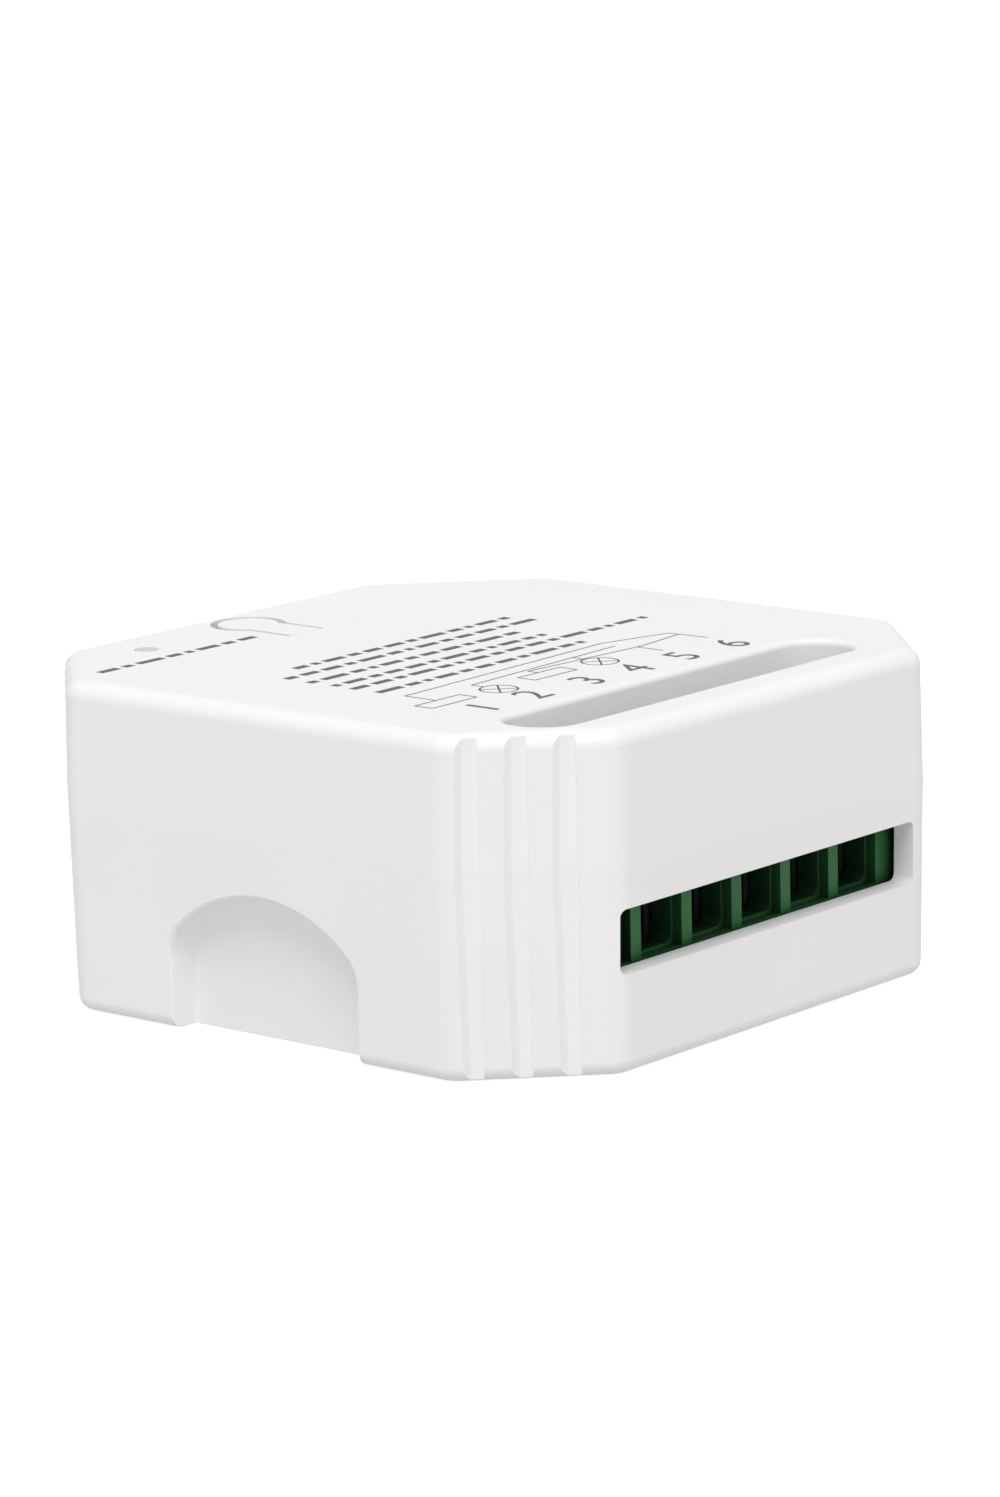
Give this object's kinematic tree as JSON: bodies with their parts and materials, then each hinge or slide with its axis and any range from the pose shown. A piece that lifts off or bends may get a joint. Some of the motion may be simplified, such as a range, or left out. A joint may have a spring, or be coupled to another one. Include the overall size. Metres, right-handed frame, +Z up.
{
  "type": "smart switch module",
  "caption": "In-wall smart switch module: square white case with cut, grooved corners, a terminal block behind a window, a screwdriver slot, a push pad and a status light.",
  "frame": {"origin": "middle of the underside", "axes": "+Z up, through the top with the push pad; -Y is the side with the wire window; -X is the side with the arched notch"},
  "size_m": [0.046, 0.046, 0.0213],
  "materials": {
    "white_plastic": "fine matt texture",
    "clear_plastic": "smooth, slightly clouded",
    "led_resin": "smooth",
    "circuit_board": "solder mask",
    "plated_steel": "zinc plated",
    "insulation_film": "smooth film",
    "terminal_plastic": "satin moulding",
    "tinned_brass": "tinned",
    "relay_plastic": "smooth moulding",
    "black_plastic": "smooth moulding",
    "bobbin_plastic": "moulded",
    "enamelled_copper": "enamelled wire",
    "contact_copper": "rolled copper alloy",
    "ferrite": "pressed and fired",
    "shield_tin": "tin plated",
    "capacitor_sleeve": "shrunk sleeve",
    "film_capacitor_case": "moulded box",
    "varistor_coating": "dipped coating",
    "fuse_ceramic": "glazed tube"
  },
  "bodies": {
    "housing": {"board_headers": "black_plastic", "board_screws": "plated_steel", "bottom_housing": "white_plastic", "bridge_rectifier": "black_plastic", "choke": "ferrite", "control_board": "circuit_board", "fuse": "fuse_ceramic", "insulation_sheet": "insulation_film", "interference_capacitor": "film_capacitor_case", "light_pipe": "clear_plastic", "main_board": "circuit_board", "radio_board": "circuit_board", "radio_shield_can": "shield_tin", "regulator_chip": "black_plastic", "relay_1_base": "relay_plastic", "relay_1_coil_bobbin": "bobbin_plastic", "relay_1_coil_winding": "enamelled_copper", "relay_1_cover": "relay_plastic", "relay_1_fixed_contact": "contact_copper", "relay_1_yoke": "plated_steel", "relay_2_base": "relay_plastic", "relay_2_coil_bobbin": "bobbin_plastic", "relay_2_coil_winding": "enamelled_copper", "relay_2_cover": "relay_plastic", "relay_2_fixed_contact": "contact_copper", "relay_2_yoke": "plated_steel", "smoothing_capacitor": "capacitor_sleeve", "status_led": "led_resin", "switch_body": "black_plastic", "terminal_block_body": "terminal_plastic", "terminal_contact_1": "tinned_brass", "terminal_contact_2": "tinned_brass", "terminal_contact_3": "tinned_brass", "terminal_contact_4": "tinned_brass", "terminal_contact_5": "tinned_brass", "terminal_contact_6": "tinned_brass", "top_cover": "white_plastic", "transformer_bobbin": "bobbin_plastic", "transformer_core": "ferrite", "transformer_winding": "enamelled_copper", "varistor": "varistor_coating"},
    "push_pad": {"push_pad": "white_plastic"},
    "switch_plunger": {"switch_plunger": "black_plastic"},
    "terminal_screw_1": {"terminal_screw_1": "plated_steel"},
    "wire_clamp_1": {"wire_clamp_1": "plated_steel"},
    "terminal_screw_2": {"terminal_screw_2": "plated_steel"},
    "wire_clamp_2": {"wire_clamp_2": "plated_steel"},
    "terminal_screw_3": {"terminal_screw_3": "plated_steel"},
    "wire_clamp_3": {"wire_clamp_3": "plated_steel"},
    "terminal_screw_4": {"terminal_screw_4": "plated_steel"},
    "wire_clamp_4": {"wire_clamp_4": "plated_steel"},
    "terminal_screw_5": {"terminal_screw_5": "plated_steel"},
    "wire_clamp_5": {"wire_clamp_5": "plated_steel"},
    "terminal_screw_6": {"terminal_screw_6": "plated_steel"},
    "wire_clamp_6": {"wire_clamp_6": "plated_steel"},
    "relay_1_armature": {"relay_1_armature": "plated_steel", "relay_1_contact_spring": "contact_copper"},
    "relay_2_armature": {"relay_2_armature": "plated_steel", "relay_2_contact_spring": "contact_copper"}
  },
  "joints": [
    {"name": "pad_press", "type": "hinge", "parent": "housing", "child": "push_pad", "pos_m": [-0.00205, 0.0138, 0.0203], "axis": [-1, 0, 0], "range_deg": [0, 3.5], "stiffness_Nm_per_rad": 0.06},
    {"name": "plunger_press", "type": "slide", "parent": "housing", "child": "switch_plunger", "axis": [0, 0, -1], "range_m": [0, 0.00035], "stiffness_N_per_m": 1800},
    {"name": "terminal_screw_1_turn", "type": "hinge", "parent": "housing", "child": "terminal_screw_1", "pos_m": [-0.0141, -0.017, 0.012], "axis": [0, 0, -1], "range_deg": [0, 1440]},
    {"name": "wire_clamp_1_rise", "type": "slide", "parent": "housing", "child": "wire_clamp_1", "axis": [0, 0, 1], "range_m": [0, 0.002]},
    {"name": "terminal_screw_2_turn", "type": "hinge", "parent": "housing", "child": "terminal_screw_2", "pos_m": [-0.0091, -0.017, 0.012], "axis": [0, 0, -1], "range_deg": [0, 1440]},
    {"name": "wire_clamp_2_rise", "type": "slide", "parent": "housing", "child": "wire_clamp_2", "axis": [0, 0, 1], "range_m": [0, 0.002]},
    {"name": "terminal_screw_3_turn", "type": "hinge", "parent": "housing", "child": "terminal_screw_3", "pos_m": [-0.0041, -0.017, 0.012], "axis": [0, 0, -1], "range_deg": [0, 1440]},
    {"name": "wire_clamp_3_rise", "type": "slide", "parent": "housing", "child": "wire_clamp_3", "axis": [0, 0, 1], "range_m": [0, 0.002]},
    {"name": "terminal_screw_4_turn", "type": "hinge", "parent": "housing", "child": "terminal_screw_4", "pos_m": [0.0009, -0.017, 0.012], "axis": [0, 0, -1], "range_deg": [0, 1440]},
    {"name": "wire_clamp_4_rise", "type": "slide", "parent": "housing", "child": "wire_clamp_4", "axis": [0, 0, 1], "range_m": [0, 0.002]},
    {"name": "terminal_screw_5_turn", "type": "hinge", "parent": "housing", "child": "terminal_screw_5", "pos_m": [0.0059, -0.017, 0.012], "axis": [0, 0, -1], "range_deg": [0, 1440]},
    {"name": "wire_clamp_5_rise", "type": "slide", "parent": "housing", "child": "wire_clamp_5", "axis": [0, 0, 1], "range_m": [0, 0.002]},
    {"name": "terminal_screw_6_turn", "type": "hinge", "parent": "housing", "child": "terminal_screw_6", "pos_m": [0.0109, -0.017, 0.012], "axis": [0, 0, -1], "range_deg": [0, 1440]},
    {"name": "wire_clamp_6_rise", "type": "slide", "parent": "housing", "child": "wire_clamp_6", "axis": [0, 0, 1], "range_m": [0, 0.002]},
    {"name": "relay_1_armature_pull", "type": "hinge", "parent": "housing", "child": "relay_1_armature", "pos_m": [-0.0098, -0.00699, 0.01365], "axis": [0, -1, 0], "range_deg": [0, 3.5], "stiffness_Nm_per_rad": 0.005},
    {"name": "relay_2_armature_pull", "type": "hinge", "parent": "housing", "child": "relay_2_armature", "pos_m": [0.009, -0.00699, 0.01365], "axis": [0, -1, 0], "range_deg": [0, 3.5], "stiffness_Nm_per_rad": 0.005}
  ],
  "couplings": [
    {"joint": "pad_press", "follows": "plunger_press", "rad_per_m": 169},
    {"joint": "terminal_screw_1_turn", "follows": "wire_clamp_1_rise", "rad_per_m": 12566},
    {"joint": "terminal_screw_2_turn", "follows": "wire_clamp_2_rise", "rad_per_m": 12566},
    {"joint": "terminal_screw_3_turn", "follows": "wire_clamp_3_rise", "rad_per_m": 12566},
    {"joint": "terminal_screw_4_turn", "follows": "wire_clamp_4_rise", "rad_per_m": 12566},
    {"joint": "terminal_screw_5_turn", "follows": "wire_clamp_5_rise", "rad_per_m": 12566},
    {"joint": "terminal_screw_6_turn", "follows": "wire_clamp_6_rise", "rad_per_m": 12566}
  ]
}
